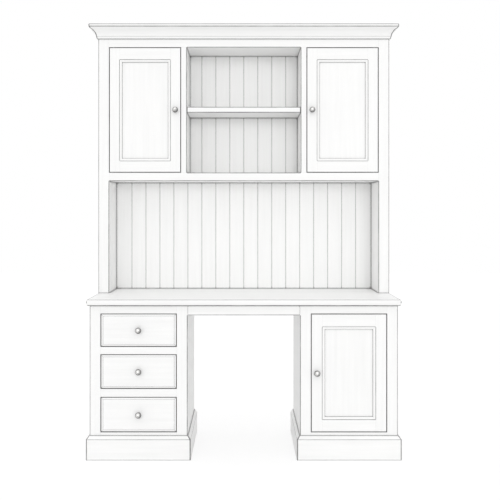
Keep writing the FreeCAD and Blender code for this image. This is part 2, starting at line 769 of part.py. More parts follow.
def hutch_face_frame(head_holes, foot_holes):
    """Two stiles that stand on the desk top, the mid and top rails, and the two mullions."""
    shoulders = (s.tenon_shoulder, s.tenon_shoulder)
    mid_rail, mid_tenon = tenoned("hutch_mid_rail_blank", (-hutch_stile_in, hutch_face, bay_high),
                                  (hutch_stile_in, hutch_face_back, cupboard_low), 0, shoulders)
    top_rail, top_tenon = tenoned("hutch_top_rail_blank", (-hutch_stile_in, hutch_face, cupboard_high),
                                  (hutch_stile_in, hutch_face_back, hutch_high), 0, shoulders)
    stiles, mullions, mullion_tenons = [], [], []
    for side, sign in (("left", -1), ("right", 1)):
        low, high = span(sign, hutch_stile_in, hutch_half)
        blank = box(f"hutch_{side}_stile_blank", (low, hutch_face, s.desk_height),
                    (high, hutch_face_back, hutch_high))
        stiles.append(cut(f"hutch_{side}_stile", blank, mid_tenon, top_tenon))
        low, high = span(sign, centre_half, mullion_out)
        mullion, tenon = tenoned(f"hutch_{side}_mullion", (low, hutch_face, cupboard_low),
                                 (high, hutch_face_back, cupboard_high), 2, shoulders)
        mullions.append(mullion)
        mullion_tenons.append(tenon)
    rails = [cut("hutch_mid_rail", mid_rail, *mullion_tenons, *foot_holes),
             cut("hutch_top_rail", top_rail, *mullion_tenons, *head_holes)]
    node("hutch_face_frame", *stiles, *rails, *mullions)


def back_boards():
    """Tongue-and-groove boards behind the hutch, with a vee down each joint."""
    tongue_low = hutch_inside_back + (s.back_board - s.tongue_thickness) / 2
    tongue_high = tongue_low + s.tongue_thickness
    groove_low, groove_high = tongue_low - s.hole_fit, tongue_high + s.hole_fit
    groove_end = s.tongue_length + s.loose_gap
    edge = hutch_side_in + s.back_rebate
    first_joint = s.end_board - hutch_side_in
    pitch = -first_joint * 2 / INNER_BACK_BOARDS
    joints = [first_joint + pitch * count for count in range(INNER_BACK_BOARDS + 1)]
    boards = []
    for count, (low, high) in enumerate(zip([-edge] + joints, joints + [edge])):
        left = [(low, back), (low, hutch_inside_back)]
        right = [(high, hutch_inside_back), (high, back)]
        if count > 0:
            left = [(low, back), (low, groove_high), (low + groove_end, groove_high),
                    (low + groove_end, groove_low), (low, groove_low),
                    (low, hutch_inside_back + s.vee), (low + s.vee, hutch_inside_back)]
        if count < len(joints):
            right = [(high - s.vee, hutch_inside_back), (high, hutch_inside_back + s.vee),
                     (high, tongue_low), (high + s.tongue_length, tongue_low),
                     (high + s.tongue_length, tongue_high), (high, tongue_high), (high, back)]
        boards.append(padded(f"back_board_{count + 1}", "XY_Plane", left + right,
                             hutch_high - s.desk_height, level=s.desk_height))
    node("hutch_back_boards", *boards)
    return boards


def cornice():
    """Three lengths of cove moulding round the head of the hutch, mitred at the front corners."""
    lip_low = s.cornice_height - s.cornice_lip
    profile = [(0, 0), (s.cornice_base_foot, 0), (s.cornice_base_head, s.cornice_base_rise),
               (s.cornice_projection - s.cornice_lip_undercut, lip_low - s.cornice_lip_drop),
               (s.cornice_projection, lip_low), (s.cornice_projection, s.cornice_height),
               (0, s.cornice_height)]
    arcs = {2: (s.cove_radius, -1)}
    quarter = FreeCAD.Rotation(FreeCAD.Vector(0, 0, 1), 90)
    lengths = [
        strip("cornice_front", profile, hutch_half * 2, ("outside", "outside"),
              (-hutch_half, hutch_face, cornice_low), None, arcs),
        strip("cornice_right", profile, s.hutch_depth, ("outside", "square"),
              (hutch_half, hutch_face, cornice_low), quarter, arcs),
        strip("cornice_left", profile, s.hutch_depth, ("square", "outside"),
              (-hutch_half, back, cornice_low), quarter.inverted(), arcs)]
    node("cornice", *lengths)


def dowels():
    """Dowels that keep the hutch in its place on the desk top, and the holes that take them."""
    pins, holes = [], {-1: [], 1: []}
    rows = (("front", hutch_face_back + s.dowel_inset), ("rear", hutch_inside_back - s.dowel_inset))
    for side, sign in (("left", -1), ("right", 1)):
        middle = (hutch_side_in + s.board / 2) * sign
        for row, y in rows:
            low = s.desk_height - s.dowel_length / 2
            pins.append(rod(f"{side}_{row}_dowel", UP, (middle, y, low), s.dowel_radius, s.dowel_length))
            holes[sign].append(rod(f"{side}_{row}_dowel_hole", UP, (middle, y, low - s.loose_gap),
                                   s.dowel_radius + s.hole_fit, s.dowel_length + s.loose_gap * 2))
    node("hutch_dowels", *pins)
    return holes


def hutch_boards(boards, dowel_holes, shelf_sets):
    """The boards of the hutch: sides, linings, floor, soffit, top, partitions, shelf and cover."""
    floor_low = bay_high + s.board
    housed = hutch_side_in + s.housing
    floor = box("hutch_floor_blank", (-housed, hutch_face_back, floor_low),
                (housed, hutch_inside_back, cupboard_low))
    top = box("hutch_top_blank", (-housed, hutch_face_back, cupboard_high),
              (housed, hutch_inside_back, cupboard_high + s.board))
    node("hutch_soffit", box("hutch_soffit", (-hutch_side_in, hutch_face_back, bay_high),
                             (hutch_side_in, hutch_inside_back, floor_low)))
    shelf_high = hutch_shelf_low + s.centre_shelf
    shelf_end = centre_half + s.housing
    nose = box("hutch_shelf_nose", (-centre_half, hutch_face + s.centre_shelf_setback, hutch_shelf_low),
               (centre_half, hutch_face_back, shelf_high))
    shelf = box("hutch_shelf_length", (-shelf_end, hutch_face_back, hutch_shelf_low),
                (shelf_end, hutch_inside_back, shelf_high))
    node("hutch_centre_shelf", fuse("hutch_centre_shelf", nose, shelf))

    partitions, blanks, linings, battens = [], [], [], []
    for side, sign in (("left", -1), ("right", 1)):
        outer, inner = ("high", "low") if sign > 0 else ("low", "high")
        low, high = span(sign, centre_half, partition_out)
        blank = box(f"hutch_{side}_partition_blank", (low, hutch_face_back, cupboard_low - s.housing),
                    (high, hutch_inside_back, cupboard_high + s.housing))
        blanks.append(blank)
        partitions.append(cut(f"hutch_{side}_partition", blank, shelf, *shelf_sets[sign].holes[inner]))
        low, high = span(sign, hutch_side_in, hutch_half)
        blank = box(f"hutch_{side}_side_blank", (low, hutch_face_back, s.desk_height),
                    (high, back, hutch_high))
        end_board = boards[0] if sign < 0 else boards[-1]
        panel = f"hutch_{side}_side"
        node(panel, cut(panel, blank, end_board, floor, top, *dowel_holes[sign],
                        *shelf_sets[sign].holes[outer]))
        lining_out = hutch_stile_in + s.lining
        low, high = span(sign, hutch_stile_in, lining_out)
        linings.append(box(f"hutch_{side}_lining", (low, hutch_face_back, s.desk_height),
                           (high, hutch_inside_back, bay_high)))
        low, high = span(sign, lining_out, hutch_side_in)
        for row, start in (("front", hutch_face_back), ("rear", hutch_inside_back - s.batten_width)):
            battens.append(box(f"hutch_{side}_{row}_batten", (low, start, s.desk_height),
                               (high, start + s.batten_width, bay_high)))
    node("hutch_floor", cut("hutch_floor", floor, *blanks))
    node("hutch_top_board", cut("hutch_top_board", top, *blanks))
    node("hutch_partitions", *partitions)
    node("hutch_side_linings", *linings)
    node("hutch_side_battens", *battens)
    node("hutch_dust_cover", box("hutch_dust_cover", (-hutch_half, hutch_face, hutch_high),
                                 (hutch_half, back, hutch_high + s.dust_cover)))


# The whole object


def build_desk(top_holes):
    cupboard_door = door("cupboard_door", (opening_in, opening_low), (opening_out, opening_high), face, 1)
    shelf_height = opening_low + (opening_high - opening_low) * CUPBOARD_SHELF_SHARE
    cupboard_shelf = pegged_shelf("cupboard_shelf", (inside_in, face_back), (inside_out, inside_back),
                                  shelf_height)
    head_edges, foot_edges = (opening_high, top_under), (opening_low - s.bottom_rail, opening_low)
    face_frame("left_face_frame", -1, (head_edges, (middle_high, upper_low), (lower_high, middle_low),
                                       foot_edges), ())
    face_frame("right_face_frame", 1, (head_edges, foot_edges),
               (cupboard_door.head_hole, cupboard_door.foot_hole))
    left_back, left_floor = pedestal("left", -1, opening_low - s.runner_height, {})
    right_back, right_floor = pedestal("right", 1, opening_low,
                                       {"inner": cupboard_shelf.holes["low"],
                                        "outer": cupboard_shelf.holes["high"]})
    node("pedestal_back_panels", left_back, right_back)
    node("pedestal_floor_panels", left_floor, right_floor)
    plinth("left_plinth", -1)
    plinth("right_plinth", 1)

    supports = []
    openings = (("upper", upper_low, opening_high), ("middle", middle_low, middle_high),
                ("lower", opening_low, lower_high))
    for name, low, high in openings:
        drawer(f"{name}_drawer", low, high)
        supports += drawer_supports(name, low)
    node("drawer_runners", *supports)

    rail_face = face + s.knee_rail_setback
    rail_low = top_under - s.knee_rail_height
    node("kneehole_rails",
         box("kneehole_front_rail", (-pedestal_in, rail_face, rail_low),
             (pedestal_in, rail_face + s.frame_thickness, top_under)),
         box("kneehole_rear_rail", (-pedestal_in, pedestal_back - s.frame_thickness, rail_low),
             (pedestal_in, pedestal_back, top_under)))
    desk_top(fixing_rails() + top_holes)
    return cupboard_door, cupboard_shelf


def build_hutch(dowel_holes):
    doors, shelf_sets = {}, {}
    for side, sign in (("left", -1), ("right", 1)):
        low, high = span(sign, mullion_out, hutch_stile_in)
        doors[sign] = door(f"hutch_{side}_door", (low, cupboard_low), (high, cupboard_high), hutch_face, sign)
        low, high = span(sign, partition_out, hutch_side_in)
        shelf_sets[sign] = pegged_shelf(f"hutch_{side}_shelf", (low, hutch_face_back),
                                        (high, hutch_inside_back), hutch_shelf_low)
    hutch_face_frame([item.head_hole for item in doors.values()],
                     [item.foot_hole for item in doors.values()])
    hutch_boards(back_boards(), dowel_holes, shelf_sets)
    cornice()
    return doors, shelf_sets


def build():
    dowel_holes = dowels()
    cupboard_door, cupboard_shelf = build_desk(dowel_holes[-1] + dowel_holes[1])
    hutch_doors, hutch_shelves = build_hutch(dowel_holes)
    doors = [cupboard_door, *hutch_doors.values()]
    shelf_sets = [cupboard_shelf, *hutch_shelves.values()]
    node("adjustable_shelves", *[item.shelf for item in shelf_sets])
    node("shelf_pegs", *[peg for item in shelf_sets for peg in item.pegs])
    node("pivot_bushes", *[bush for item in doors for bush in item.bushes])
    node("door_catches", *[item.catch for item in doors])
    doc.recompute()


def check():
    """Stops on any piece that failed, or whose name or shape isn't sound."""
    for piece in doc.Objects:
        if {"Invalid", "Error"} & set(piece.State):
            raise RuntimeError(f"{piece.Label} failed: {piece.State}")
    for name, piece in nodes:
        if piece.Label != name:
            raise RuntimeError(f"{name} is labelled {piece.Label}")
        if piece.Shape.isNull() or not piece.Shape.isValid() or not piece.Shape.Solids:
            raise RuntimeError(f"{name} has no sound shape")


def write():
    os.makedirs("parts", exist_ok=True)
    for name, piece in nodes:
        piece.Shape.exportStep(f"parts/{name}.step")


build()
check()
write()
print(f"{len(nodes)} nodes, {sum(len(piece.Shape.Solids) for name, piece in nodes)} solids")
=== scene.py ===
import json
import math

import bmesh
import bpy
from mathutils import Matrix, Vector


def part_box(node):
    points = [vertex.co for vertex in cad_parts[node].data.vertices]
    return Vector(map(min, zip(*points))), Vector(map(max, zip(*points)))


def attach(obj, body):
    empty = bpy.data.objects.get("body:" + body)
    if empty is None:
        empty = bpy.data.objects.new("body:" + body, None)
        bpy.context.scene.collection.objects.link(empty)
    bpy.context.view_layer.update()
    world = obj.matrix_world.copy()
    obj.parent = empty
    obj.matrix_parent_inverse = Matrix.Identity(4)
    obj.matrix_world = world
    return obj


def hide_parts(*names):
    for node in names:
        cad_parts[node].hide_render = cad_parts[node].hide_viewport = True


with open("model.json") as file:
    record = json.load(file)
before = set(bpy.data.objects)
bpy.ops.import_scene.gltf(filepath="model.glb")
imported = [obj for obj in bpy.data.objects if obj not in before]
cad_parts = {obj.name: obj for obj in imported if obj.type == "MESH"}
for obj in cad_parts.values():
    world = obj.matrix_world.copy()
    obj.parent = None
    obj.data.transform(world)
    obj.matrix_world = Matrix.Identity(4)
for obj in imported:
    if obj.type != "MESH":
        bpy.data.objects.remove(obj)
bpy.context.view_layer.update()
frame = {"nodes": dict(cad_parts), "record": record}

# A white painted desk with a hutch, dressed on its packed construction. All sizes are in metres.

# Sizes that the construction has too
REVEAL = 0.0025
BOTTOM_RAIL = 0.046
MULLION = 0.030
STRIKE_PROUD = 0.0002
END_BOARD = 0.131
INNER_BOARDS = 16
TOP_ROUNDING = 0.010
PLINTH = 0.016
PLINTH_LIP = 0.004
PLINTH_SQUARE = 0.098
PLINTH_HEIGHT = 0.114
BEAD_WIDTH = 0.012
BEAD_DEPTH = 0.0075
BEAD_RADIUS = 0.009
CORNICE_REACH = 0.044
CORNICE_HEIGHT = 0.071
COVE_RADIUS = 0.048
KNOB_RADIUS = 0.0145
KNOB_LENGTH = 0.034
KNOB_NECK = 0.0055
KNOB_ROSE = 0.009
KNOB_ROSE_HEIGHT = 0.0025
KNOB_SCREW_HEAD = 0.004
KNOB_SCREW_HEAD_HEIGHT = 0.0025

# Softened edges of boards: those that show, those round a door's panel, those at the gap round a door or
# drawer, upper edges that hands rub, shelves, drawer fronts, plain boards, the vees of the back, and
# flush joints. An edge that is softened by more than LEAST_DARKENED takes the edge paint, darkened for wear
# and as painted shade.
ARRIS = 0.0033
DOOR_ARRIS = 0.0025
GAP_ARRIS = 0.0012
TOP_ARRIS = 0.0040
SHELF_ARRIS = 0.0015
DRAWER_ARRIS = 0.0007
PLAIN_ARRIS = 0.0006
VEE = 0.0025
HAIRLINE = 0.0003
LEAST_DARKENED = 0.0006

# Softened edges of mouldings
BEAD_EASE = 0.0018
PLINTH_EASE = 0.0012
FILLET_EASE = 0.0006
LIP_UNDER_EASE = 0.0024
LIP_EASE = 0.0040
CORNER_EASE = 0.0055

# Sections of the mouldings: (reach, rise, ease of the corner)
PLINTH_SECTION = ((0, 0, 0), (PLINTH, 0, 0), (PLINTH, PLINTH_SQUARE, PLINTH_EASE),
                  (PLINTH_LIP, PLINTH_HEIGHT, PLINTH_EASE), (0, PLINTH_HEIGHT, 0))
BEAD_SECTION = ((0, 0, 0), (BEAD_WIDTH, 0, 0), (BEAD_WIDTH, 0.002, BEAD_EASE), (0.003, BEAD_DEPTH, 0),
                (0, BEAD_DEPTH, 0))
CORNICE_SECTION = ((0, 0, 0), (0.007, 0, GAP_ARRIS), (0.011, 0.012, FILLET_EASE), (0.039, 0.051, 0),
                   (CORNICE_REACH, 0.057, LIP_UNDER_EASE), (CORNICE_REACH, CORNICE_HEIGHT, LIP_EASE),
                   (0, CORNICE_HEIGHT, 0))

# Profiles of turned pieces: (radius, distance from the board)
ROSE_PROFILE = ((0, 0), (KNOB_ROSE * 0.94, 0), (KNOB_ROSE, 0.0005), (KNOB_ROSE, 0.0013),
                (KNOB_ROSE * 0.93, 0.0021), (KNOB_ROSE * 0.80, KNOB_ROSE_HEIGHT),
                (KNOB_NECK * 1.2, KNOB_ROSE_HEIGHT * 1.1), (KNOB_NECK * 1.03, KNOB_ROSE_HEIGHT * 1.5),
                (KNOB_NECK, KNOB_ROSE_HEIGHT * 1.9))
SCREW_PROFILE = ((0, 0), (KNOB_SCREW_HEAD, 0), (KNOB_SCREW_HEAD, 0.0011), (KNOB_SCREW_HEAD * 0.9, 0.0019),
                 (KNOB_SCREW_HEAD * 0.62, KNOB_SCREW_HEAD_HEIGHT), (0.0016, KNOB_SCREW_HEAD_HEIGHT),
                 (0.0013, 0.0012), (0, 0.0010))

# Steps of each rounding
ARRIS_STEPS = 3
TOP_STEPS = 8
VEE_STEPS = 1
BEVEL_STEPS = 2
BEAD_EASE_STEPS = 2
BEAD_STEPS = 7
COVE_STEPS = 12
CORNER_STEPS = 2
BALL_STEPS = 24
KNOB_SIDES = 64
SCREW_SIDES = 32

# Short lengths: the taper between two softenings of an edge, the least distance of two rings of a board, a
# step across an edge to see what lies beside it, the depth of a block that stands for a neighbour, and
# points that count as one, in the construction's meshes and in the mouldings.
TAPER = 0.0012
CLOSEST_RINGS = 0.00003
TOUCH = 0.0005
BLOCK = 0.016
WELD = 0.00001
SAME_SPOT = 0.000001

# Angles in degrees: edges that stay sharp in the shading, edges that are softened, shallow ones that are
# softened too, and faces that count as one plane.
SHARP_DEGREES = 38.0
EDGE_DEGREES = 30.0
SHALLOW_DEGREES = 12.0
PLANE_DEGREES = 0.5

# Slopes of the desk top's faces in degrees, from 0 for a face that looks up: the level ones, which take a
# brighter white as painted light, where the edge paint, darkened for wear and as painted shade, starts on
# the upper edge of the front and of the ends, where it stops, the darkened lower edge, and upright faces.
# Then how far a face of an end looks sideways, and one of a rounded corner.
LEVEL_SLOPE = 1
FRONT_DARK_START = 24
END_DARK_START = 3
UPPER_DARK_END = 58
UNDER_DARK = (124, 179)
UPRIGHT = (87, 93)
END_SIDEWAYS = 0.05
CORNER_SIDEWAYS = (0.5, 0.98)

# Colours and finishes
WHITE = (0.955, 0.955, 0.95)
# A brighter white, painted light for level tops and the insides of the bays
BRIGHTENED_WHITE = (0.99, 0.99, 0.985)
SHADE = (0.17, 0.17, 0.17)
PALE_WOOD = (0.66, 0.47, 0.28)
DARK_WOOD = (0.50, 0.32, 0.17)
NICKEL = (0.82, 0.815, 0.80)
ZINC = (0.45, 0.45, 0.46)
# Tarnish, and also the colour of the painted shade on knobs
TARNISH_AND_SHADE = (0.16, 0.16, 0.16)
METAL_RIM = (0.4, 0.4, 0.4, 1)
CATCH_WHITE = (0.75, 0.74, 0.70)
SATIN = 0.35
# How far the painted shade reaches out of corners, on the paint and inside the bays
CORNER_SHADE_REACH = 0.008
INSIDE_CORNER_SHADE_REACH = 0.015
FILM_REACH = 0.010
FILM_DULLNESS = 0.12
OPENNESS_SAMPLES = 8
PAINT_SLOT, EDGE_SLOT, BRIGHTENED_SLOT = 0, 1, 2

# A knob can be painted darker, as painted shade, on faces that turn away from these two directions: the
# front, and the upper left, which leaves its upper front bright as a painted highlight. The ramps run from
# 0, turned right away, to 1.
FACING_SHADE = (((0, -1, 0), [(0.55, 1.0), (0.93, 0.0)]),
                ((-0.55, -0.35, 0.76), [(0.28, 0.75), (0.8, 0.0)]))

# How far apart two boards lie in the grain's coordinates, at most
BOARD_SHIFT = (3.7, 1.9, 2.3)

# Light, floor and camera. A lamp has the place where it stands as seen from the object, its spread in
# degrees and its strength.
LAMPS = {"key": ((-1.9, -6.0, 1.9), 24, 0.19),
         "fill": ((1.0, -6.0, 0.75), 14, 0.35),
         "overhead": ((0.0, -1.2, 6.0), 100, 0.58)}
WORLD_LIGHT = 0.77
FLOOR_WHITE = (0.92, 0.92, 0.92, 1)
FLOOR_SHADOW = (0.30, 0.30, 0.30, 1)
FLOOR_GLOW = 0.74
FLOOR_REACH = 12.0
FLOOR_LEVEL = -0.0005
SENSOR_MM = 36.0
LENS_MM = 63.44
CAMERA_SHIFT = (0.0124, -0.08)
CAMERA_PLACE = (0, -4.471, 1.188)

# Painted nodes of the construction that aren't finished as the rest: those with softened edges of their
# own, those whose edges are covered, and the ones inside the open bays, which take a brighter white as
# painted light.
PAINTED_EDGES = {"hutch_centre_shelf": TOP_ARRIS, "adjustable_shelves": SHELF_ARRIS,
                 "upper_drawer_front": DRAWER_ARRIS, "middle_drawer_front": DRAWER_ARRIS,
                 "lower_drawer_front": DRAWER_ARRIS}
SQUARE_EDGED = ("cupboard_door_panel", "hutch_left_door_panel", "hutch_right_door_panel")
SHELTERED = ("hutch_soffit", "hutch_side_linings", "hutch_partitions")


# Materials


def add_node(tree, kind, sources=None, values=None, **settings):
    """A new node with settings of its own; sources and values go to its inputs, by name or place."""
    node = tree.nodes.new(kind)
    for name, value in settings.items():
        setattr(node, name, value)
    for socket, value in (values or {}).items():
        node.inputs[socket].default_value = value
    for socket, source in (sources or {}).items():
        tree.links.new(source, node.inputs[socket])
    return node


def ramp(tree, source, stops):
    """A grey that depends on a factor; stops are its two ends as (position, grey)."""
    node = add_node(tree, "ShaderNodeValToRGB", {"Fac": source})
    for element, (position, grey) in zip(node.color_ramp.elements, stops):
        element.position = position
        element.color = (grey, grey, grey, 1)
    return node.outputs["Color"]


def mix(tree, kind, factor, first, second):
    """Two colours mixed; the factor and the colours are sockets or plain values."""
    node = add_node(tree, "ShaderNodeMix", data_type="RGBA", blend_type=kind)
    colours = [socket for socket in node.inputs if socket.type == "RGBA"]
    for socket, value in zip((node.inputs["Factor"], *colours), (factor, first, second)):
        if isinstance(value, bpy.types.NodeSocket):
            tree.links.new(value, socket)
        elif socket.type == "RGBA":
            socket.default_value = (*value, 1)
        else:
            socket.default_value = value
    return next(socket for socket in node.outputs if socket.type == "RGBA")


def toned(tree, colour, source, stops):
    """A colour times the grey of a ramp."""
    return mix(tree, "MULTIPLY", 1.0, colour, ramp(tree, source, stops))


def noise(tree, place, scale, detail, roughness=0.5, stretch=(1, 1, 1)):
    """Noise, drawn out along each axis whose stretch is small."""
    mapping = add_node(tree, "ShaderNodeMapping", {"Vector": place}, {"Scale": stretch})
    node = add_node(tree, "ShaderNodeTexNoise", {"Vector": mapping.outputs["Vector"]},
                    {"Scale": scale, "Detail": detail, "Roughness": roughness})
    return node.outputs["Fac"]


def attribute(tree, name, output):
    """One of the two values that grain_tree stores: grain_place or board_tone."""
    return add_node(tree, "ShaderNodeAttribute", attribute_name=name).outputs[output]


def openness(tree, reach):
    """1 where nothing lies within reach of a spot, and less towards the depth of a corner."""
    node = add_node(tree, "ShaderNodeAmbientOcclusion", values={"Distance": reach},
                    samples=OPENNESS_SAMPLES)
    return node.outputs["AO"]


def bump(tree, shader, height, strength, distance):
    node = add_node(tree, "ShaderNodeBump", {"Height": height},
                    {"Strength": strength, "Distance": distance})
    tree.links.new(node.outputs["Normal"], shader.inputs["Normal"])


def new_material(name):
    material = bpy.data.materials.new(name)
    material.use_nodes = True
    tree = material.node_tree
    return material, tree, tree.nodes["Principled BSDF"]


def paint(name, body, corner_shade, reach=CORNER_SHADE_REACH, worn_and_shaded=False):
    """Satin white paint: brush marks along the grain, painted shade that greys the corners, and on the edge
    paint grey patches for wear and painted shade.
    """
    material, tree, shader = new_material(name)
    place = attribute(tree, "grain_place", "Vector")
    strokes = noise(tree, place, scale=60, detail=4, roughness=0.55, stretch=(0.04, 1, 1))
    fibre = noise(tree, place, scale=420, detail=3, roughness=0.6, stretch=(0.02, 1, 1))
    cloud = noise(tree, place, scale=5, detail=3)
    grit = noise(tree, place, scale=900, detail=2)

    colour = toned(tree, body, attribute(tree, "board_tone", "Fac"), [(0, 0.985), (1, 1.0)])
    colour = toned(tree, colour, cloud, [(0.3, 0.985), (0.7, 1.0)])
    colour = toned(tree, colour, strokes, [(0.3, 0.965), (0.62, 1.0)])
    colour = toned(tree, colour, grit, [(0.35, 0.97), (0.6, 1.0)])
    # The edge paint: grey in patches, for wear and as painted shade along edges, gaps and lower edges
    if worn_and_shaded:
        patches = noise(tree, place, scale=35, detail=5, roughness=0.65, stretch=(0.35, 1, 1))
        colour = mix(tree, "MIX", ramp(tree, patches, [(0.36, 0.75), (0.62, 1.0)]), colour, SHADE)
    # Painted shade: greyer towards the depth of a corner
    painted_corner_shade = ramp(tree, openness(tree, reach), [(0.5, corner_shade), (0.86, 0.0)])
    colour = mix(tree, "MIX", painted_corner_shade, colour, SHADE)
    tree.links.new(colour, shader.inputs["Base Color"])

    tree.links.new(ramp(tree, strokes, [(0.25, 0.36), (0.75, 0.48)]), shader.inputs["Roughness"])
    shader.inputs["Specular IOR Level"].default_value = SATIN
    bump(tree, shader, mix(tree, "MIX", 0.35, strokes, fibre), strength=0.12, distance=0.0006)
    return material


def wood(name, pale, dark):
    """Clear-varnished timber with growth rings drawn out along the grain."""
    material, tree, shader = new_material(name)
    place = attribute(tree, "grain_place", "Vector")
    wander = noise(tree, place, scale=9, detail=3, stretch=(0.12, 1, 1))
    rings = noise(tree, place, scale=46, detail=5, roughness=0.6, stretch=(0.035, 1, 1))
    pores = noise(tree, place, scale=520, detail=2, stretch=(0.02, 1, 1))
    colour = mix(tree, "MIX", ramp(tree, rings, [(0.34, 1.0), (0.66, 0.0)]), pale, dark)
    colour = toned(tree, colour, wander, [(0.3, 0.82), (0.7, 1.0)])
    colour = toned(tree, colour, pores, [(0.4, 0.8), (0.55, 1.0)])
    colour = toned(tree, colour, attribute(tree, "board_tone", "Fac"), [(0, 0.88), (1, 1.0)])
    tree.links.new(colour, shader.inputs["Base Color"])
    tree.links.new(ramp(tree, rings, [(0.3, 0.5), (0.7, 0.62)]), shader.inputs["Roughness"])
    shader.inputs["Specular IOR Level"].default_value = SATIN
    bump(tree, shader, mix(tree, "MIX", 0.5, rings, pores), strength=0.18, distance=0.0005)
    return material


def metal(name, colour, gloss, brushed, painted_facing_shade=False):
    """Polished or plated metal: faint turning marks, and a darker film in the corners.

    Where asked, a piece is painted darker round the rim and underneath, as painted shade, which leaves its
    upper front bright as a painted highlight.
    """
    material, tree, shader = new_material(name)
    coordinates = tree.nodes.new("ShaderNodeTexCoord")
    place = coordinates.outputs["Object"]
    # Painted shade: darker where a face turns away from the front or the upper left
    for way, stops in FACING_SHADE if painted_facing_shade else ():
        turned = add_node(tree, "ShaderNodeVectorMath", {0: coordinates.outputs["Normal"]}, {1: way},
                          operation="DOT_PRODUCT")
        share = add_node(tree, "ShaderNodeMapRange", {"Value": turned.outputs["Value"]}, {"From Min": -1.0})
        colour = mix(tree, "MIX", ramp(tree, share.outputs["Result"], stops), colour, TARNISH_AND_SHADE)
    film = noise(tree, place, scale=160, detail=4, roughness=0.6)
    marks = noise(tree, place, scale=2600, detail=2, stretch=(1, brushed, 1))
    colour = mix(tree, "MIX", ramp(tree, film, [(0.42, 0.0), (0.8, 0.35)]), colour, TARNISH_AND_SHADE)
    corners = ramp(tree, openness(tree, FILM_REACH), [(0.2, 0.85), (0.8, 0.0)])
    colour = mix(tree, "MIX", corners, colour, TARNISH_AND_SHADE)
    tree.links.new(colour, shader.inputs["Base Color"])
    dull = ramp(tree, film, [(0.3, gloss), (0.8, gloss + FILM_DULLNESS)])
    tree.links.new(dull, shader.inputs["Roughness"])
    shader.inputs["Metallic"].default_value = 1.0
    shader.inputs["Specular Tint"].default_value = METAL_RIM
    bump(tree, shader, marks, strength=0.04, distance=0.0002)
    return material


def plastic(name, colour):
    """Moulded plastic with a fine grain."""
    material, tree, shader = new_material(name)
    place = tree.nodes.new("ShaderNodeTexCoord").outputs["Object"]
    grain = noise(tree, place, scale=1400, detail=3)
    stain = noise(tree, place, scale=60, detail=3)
    colour = toned(tree, colour, stain, [(0.3, 0.9), (0.7, 1.0)])
    tree.links.new(colour, shader.inputs["Base Color"])
    tree.links.new(ramp(tree, grain, [(0.3, 0.5), (0.7, 0.62)]), shader.inputs["Roughness"])
    bump(tree, shader, grain, strength=0.1, distance=0.0002)
    return material


paint_face = paint("white_paint", WHITE, corner_shade=0.85)
# Edge paint, darkened for wear and as painted shade
paint_edge = paint("white_paint_edge_wear_and_shade", WHITE, corner_shade=0.85, worn_and_shaded=True)
paint_panel = paint("white_paint_panel", WHITE, corner_shade=0.7)
# A brighter copy of the white paint, as painted light, with a wider painted corner shade
paint_brightened = paint("white_paint_brightened", BRIGHTENED_WHITE, corner_shade=0.8, reach=INSIDE_CORNER_SHADE_REACH)
bare_wood = wood("bare_wood", PALE_WOOD, DARK_WOOD)
nickel = metal("polished_nickel", NICKEL, gloss=0.2, brushed=1, painted_facing_shade=True)
FITTINGS = {"steel": metal("zinc_plate", ZINC, gloss=0.3, brushed=0.05),
            "catch_plastic": plastic("catch_plastic", CATCH_WHITE)}


# Finishing of pieces


